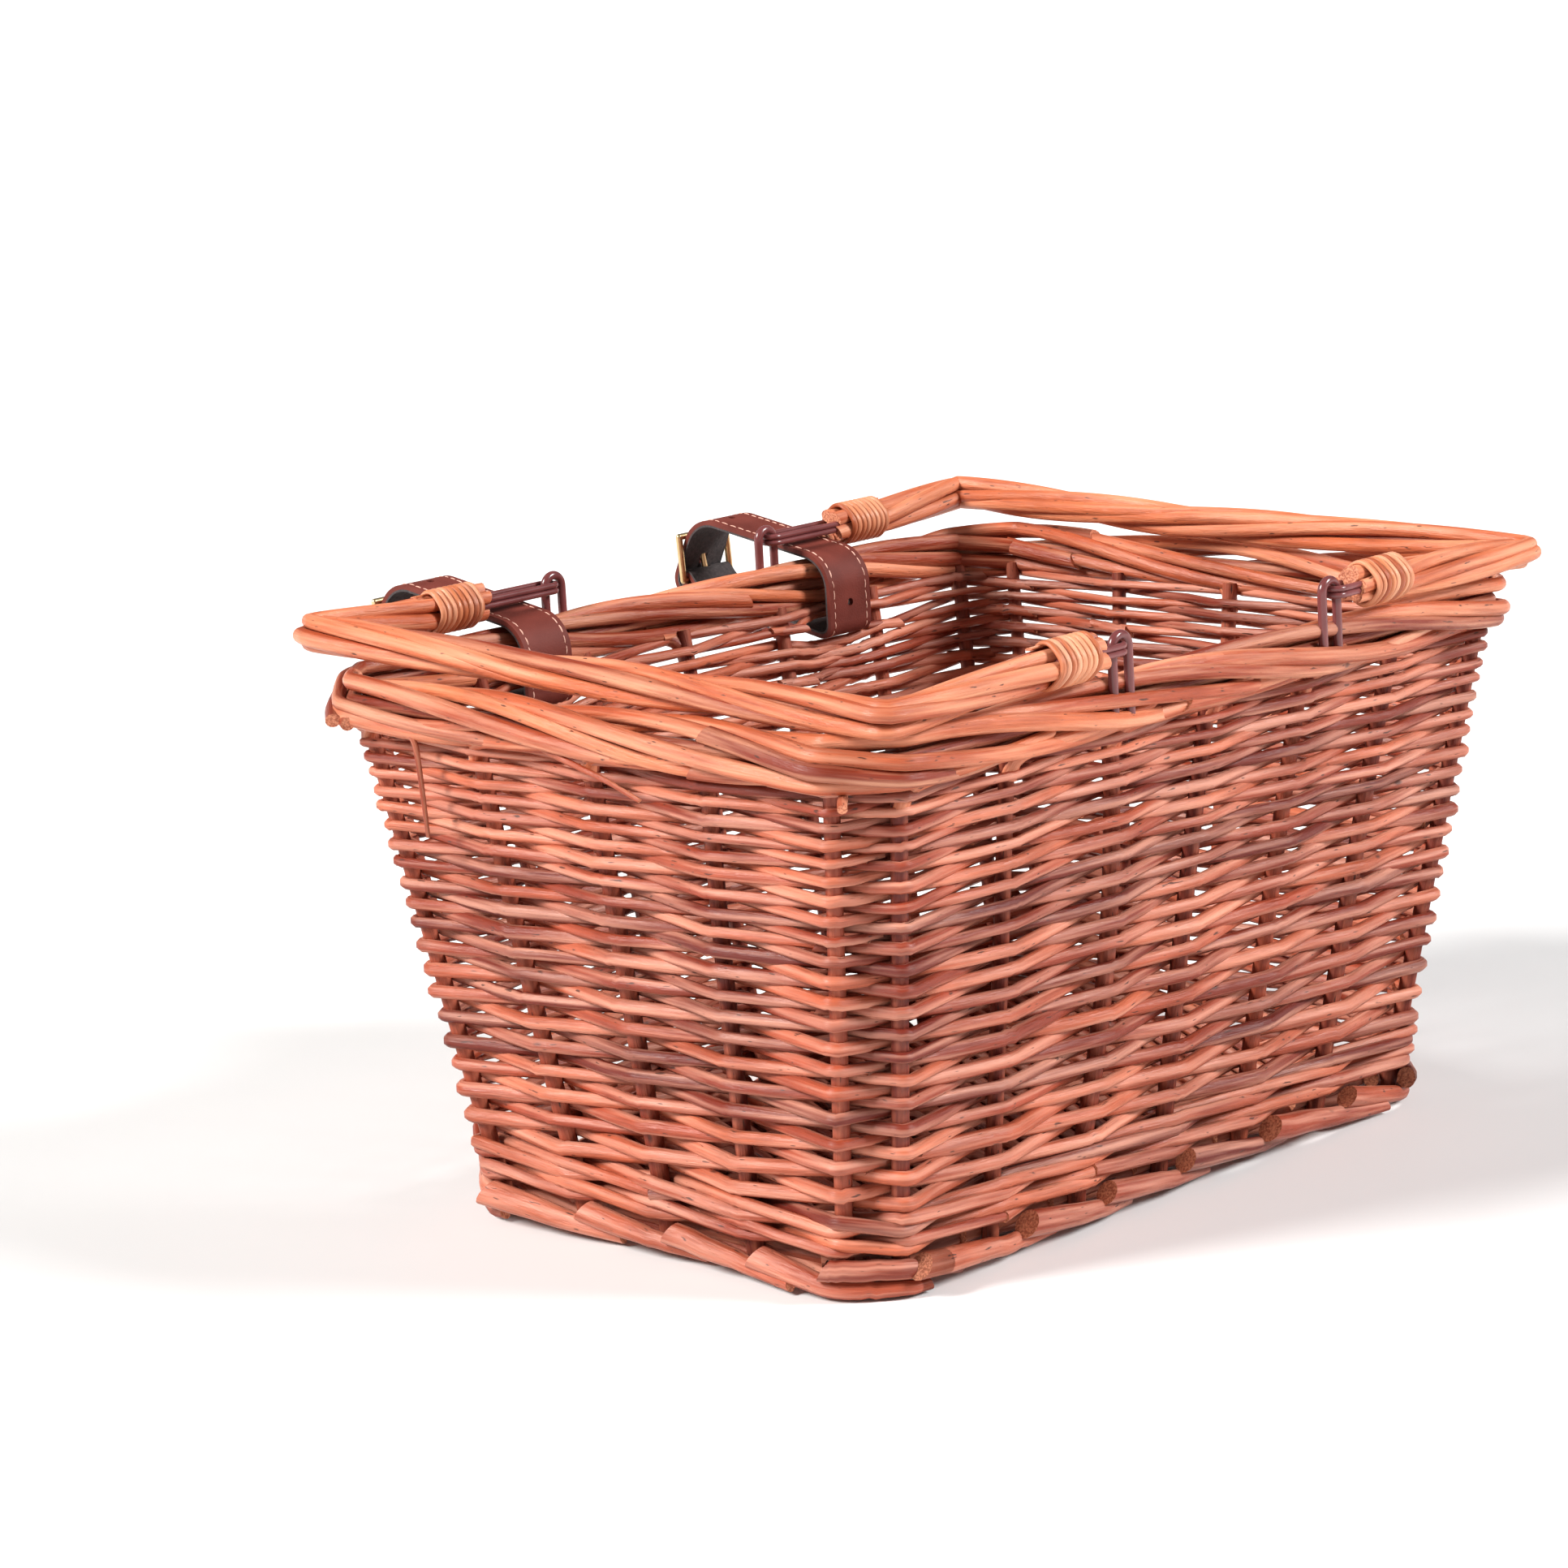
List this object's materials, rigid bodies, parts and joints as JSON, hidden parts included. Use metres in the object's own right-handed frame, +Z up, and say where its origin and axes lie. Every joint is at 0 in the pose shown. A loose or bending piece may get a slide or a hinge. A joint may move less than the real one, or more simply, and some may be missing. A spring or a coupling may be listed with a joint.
{
  "type": "handlebar basket",
  "caption": "Woven willow basket that tapers to its base, with two swing-over hoop handles on wire hinges and leather buckle straps that hang it on a handlebar.",
  "frame": {"origin": "middle of the whole part's outline, on the plane that the basket stands on", "axes": "+X along the long walls and the handlebar, +Y from the front wall to the handlebar side, +Z up"},
  "size_m": [0.3696, 0.3422, 0.2156],
  "materials": {
    "willow_weave": "satin, stained reddish brown",
    "willow_stake": "satin, darker stain",
    "willow_rim": "satin, stained orange brown",
    "willow_handle": "satin, stained orange brown",
    "cane_binding": "satin split cane",
    "coated_wire": "glossy plum brown coating",
    "strap_leather": "satin smooth leather",
    "strap_lining": "dark grey woven lining",
    "stitching": "pale pink cream thread",
    "buckle_brass": "polished brass"
  },
  "bodies": {
    "root": {"base_sticks": "willow_stake", "base_weave": "willow_weave", "front_bottom_border": "willow_rim", "front_rim": "willow_rim", "front_stakes": "willow_stake", "front_wale": "willow_weave", "front_weave": "willow_weave", "left_bottom_border": "willow_rim", "left_buckle_frame": "buckle_brass", "left_front_staple": "coated_wire", "left_rear_staple": "coated_wire", "left_rim": "willow_rim", "left_stakes": "willow_stake", "left_strap": "strap_leather", "left_strap_lining": "strap_lining", "left_strap_stitching": "stitching", "left_wale": "willow_weave", "left_weave": "willow_weave", "rear_bottom_border": "willow_rim", "rear_rim": "willow_rim", "rear_stakes": "willow_stake", "rear_wale": "willow_weave", "rear_weave": "willow_weave", "right_bottom_border": "willow_rim", "right_buckle_frame": "buckle_brass", "right_front_staple": "coated_wire", "right_rear_staple": "coated_wire", "right_rim": "willow_rim", "right_stakes": "willow_stake", "right_strap": "strap_leather", "right_strap_lining": "strap_lining", "right_strap_stitching": "stitching", "right_wale": "willow_weave", "right_weave": "willow_weave"},
    "left_handle": {"left_handle_front_binding": "cane_binding", "left_handle_front_wire": "coated_wire", "left_handle_inner_bottom_rod": "willow_handle", "left_handle_inner_top_rod": "willow_handle", "left_handle_outer_bottom_rod": "willow_handle", "left_handle_outer_top_rod": "willow_handle", "left_handle_rear_binding": "cane_binding", "left_handle_rear_wire": "coated_wire"},
    "right_handle": {"right_handle_front_binding": "cane_binding", "right_handle_front_wire": "coated_wire", "right_handle_inner_bottom_rod": "willow_handle", "right_handle_inner_top_rod": "willow_handle", "right_handle_outer_bottom_rod": "willow_handle", "right_handle_outer_top_rod": "willow_handle", "right_handle_rear_binding": "cane_binding", "right_handle_rear_wire": "coated_wire"},
    "left_prong": {"left_buckle_prong": "buckle_brass"},
    "right_prong": {"right_buckle_prong": "buckle_brass"},
    "left_keeper": {"left_strap_keeper": "strap_leather"},
    "right_keeper": {"right_strap_keeper": "strap_leather"}
  },
  "joints": [
    {"name": "left_handle_swing", "type": "hinge", "parent": "root", "child": "left_handle", "pos_m": [-0.0565, -0.02776, 0.2073], "axis": [0, 1, 0], "range_deg": [0, 115]},
    {"name": "left_prong_lift", "type": "hinge", "parent": "root", "child": "left_prong", "pos_m": [-0.08, 0.16402, 0.18571], "axis": [-1, 0, 0], "range_deg": [0, 8]},
    {"name": "left_keeper_slide", "type": "slide", "parent": "root", "child": "left_keeper", "axis": [0, 0.9807, 0.1953], "range_m": [0, 0.01]},
    {"name": "right_handle_swing", "type": "hinge", "parent": "root", "child": "right_handle", "pos_m": [0.0565, -0.02776, 0.2073], "axis": [0, -1, 0], "range_deg": [0, 115]},
    {"name": "right_prong_lift", "type": "hinge", "parent": "root", "child": "right_prong", "pos_m": [0.08, 0.16402, 0.18571], "axis": [-1, 0, 0], "range_deg": [0, 8]},
    {"name": "right_keeper_slide", "type": "slide", "parent": "root", "child": "right_keeper", "axis": [0, 0.9807, 0.1953], "range_m": [0, 0.01]}
  ]
}
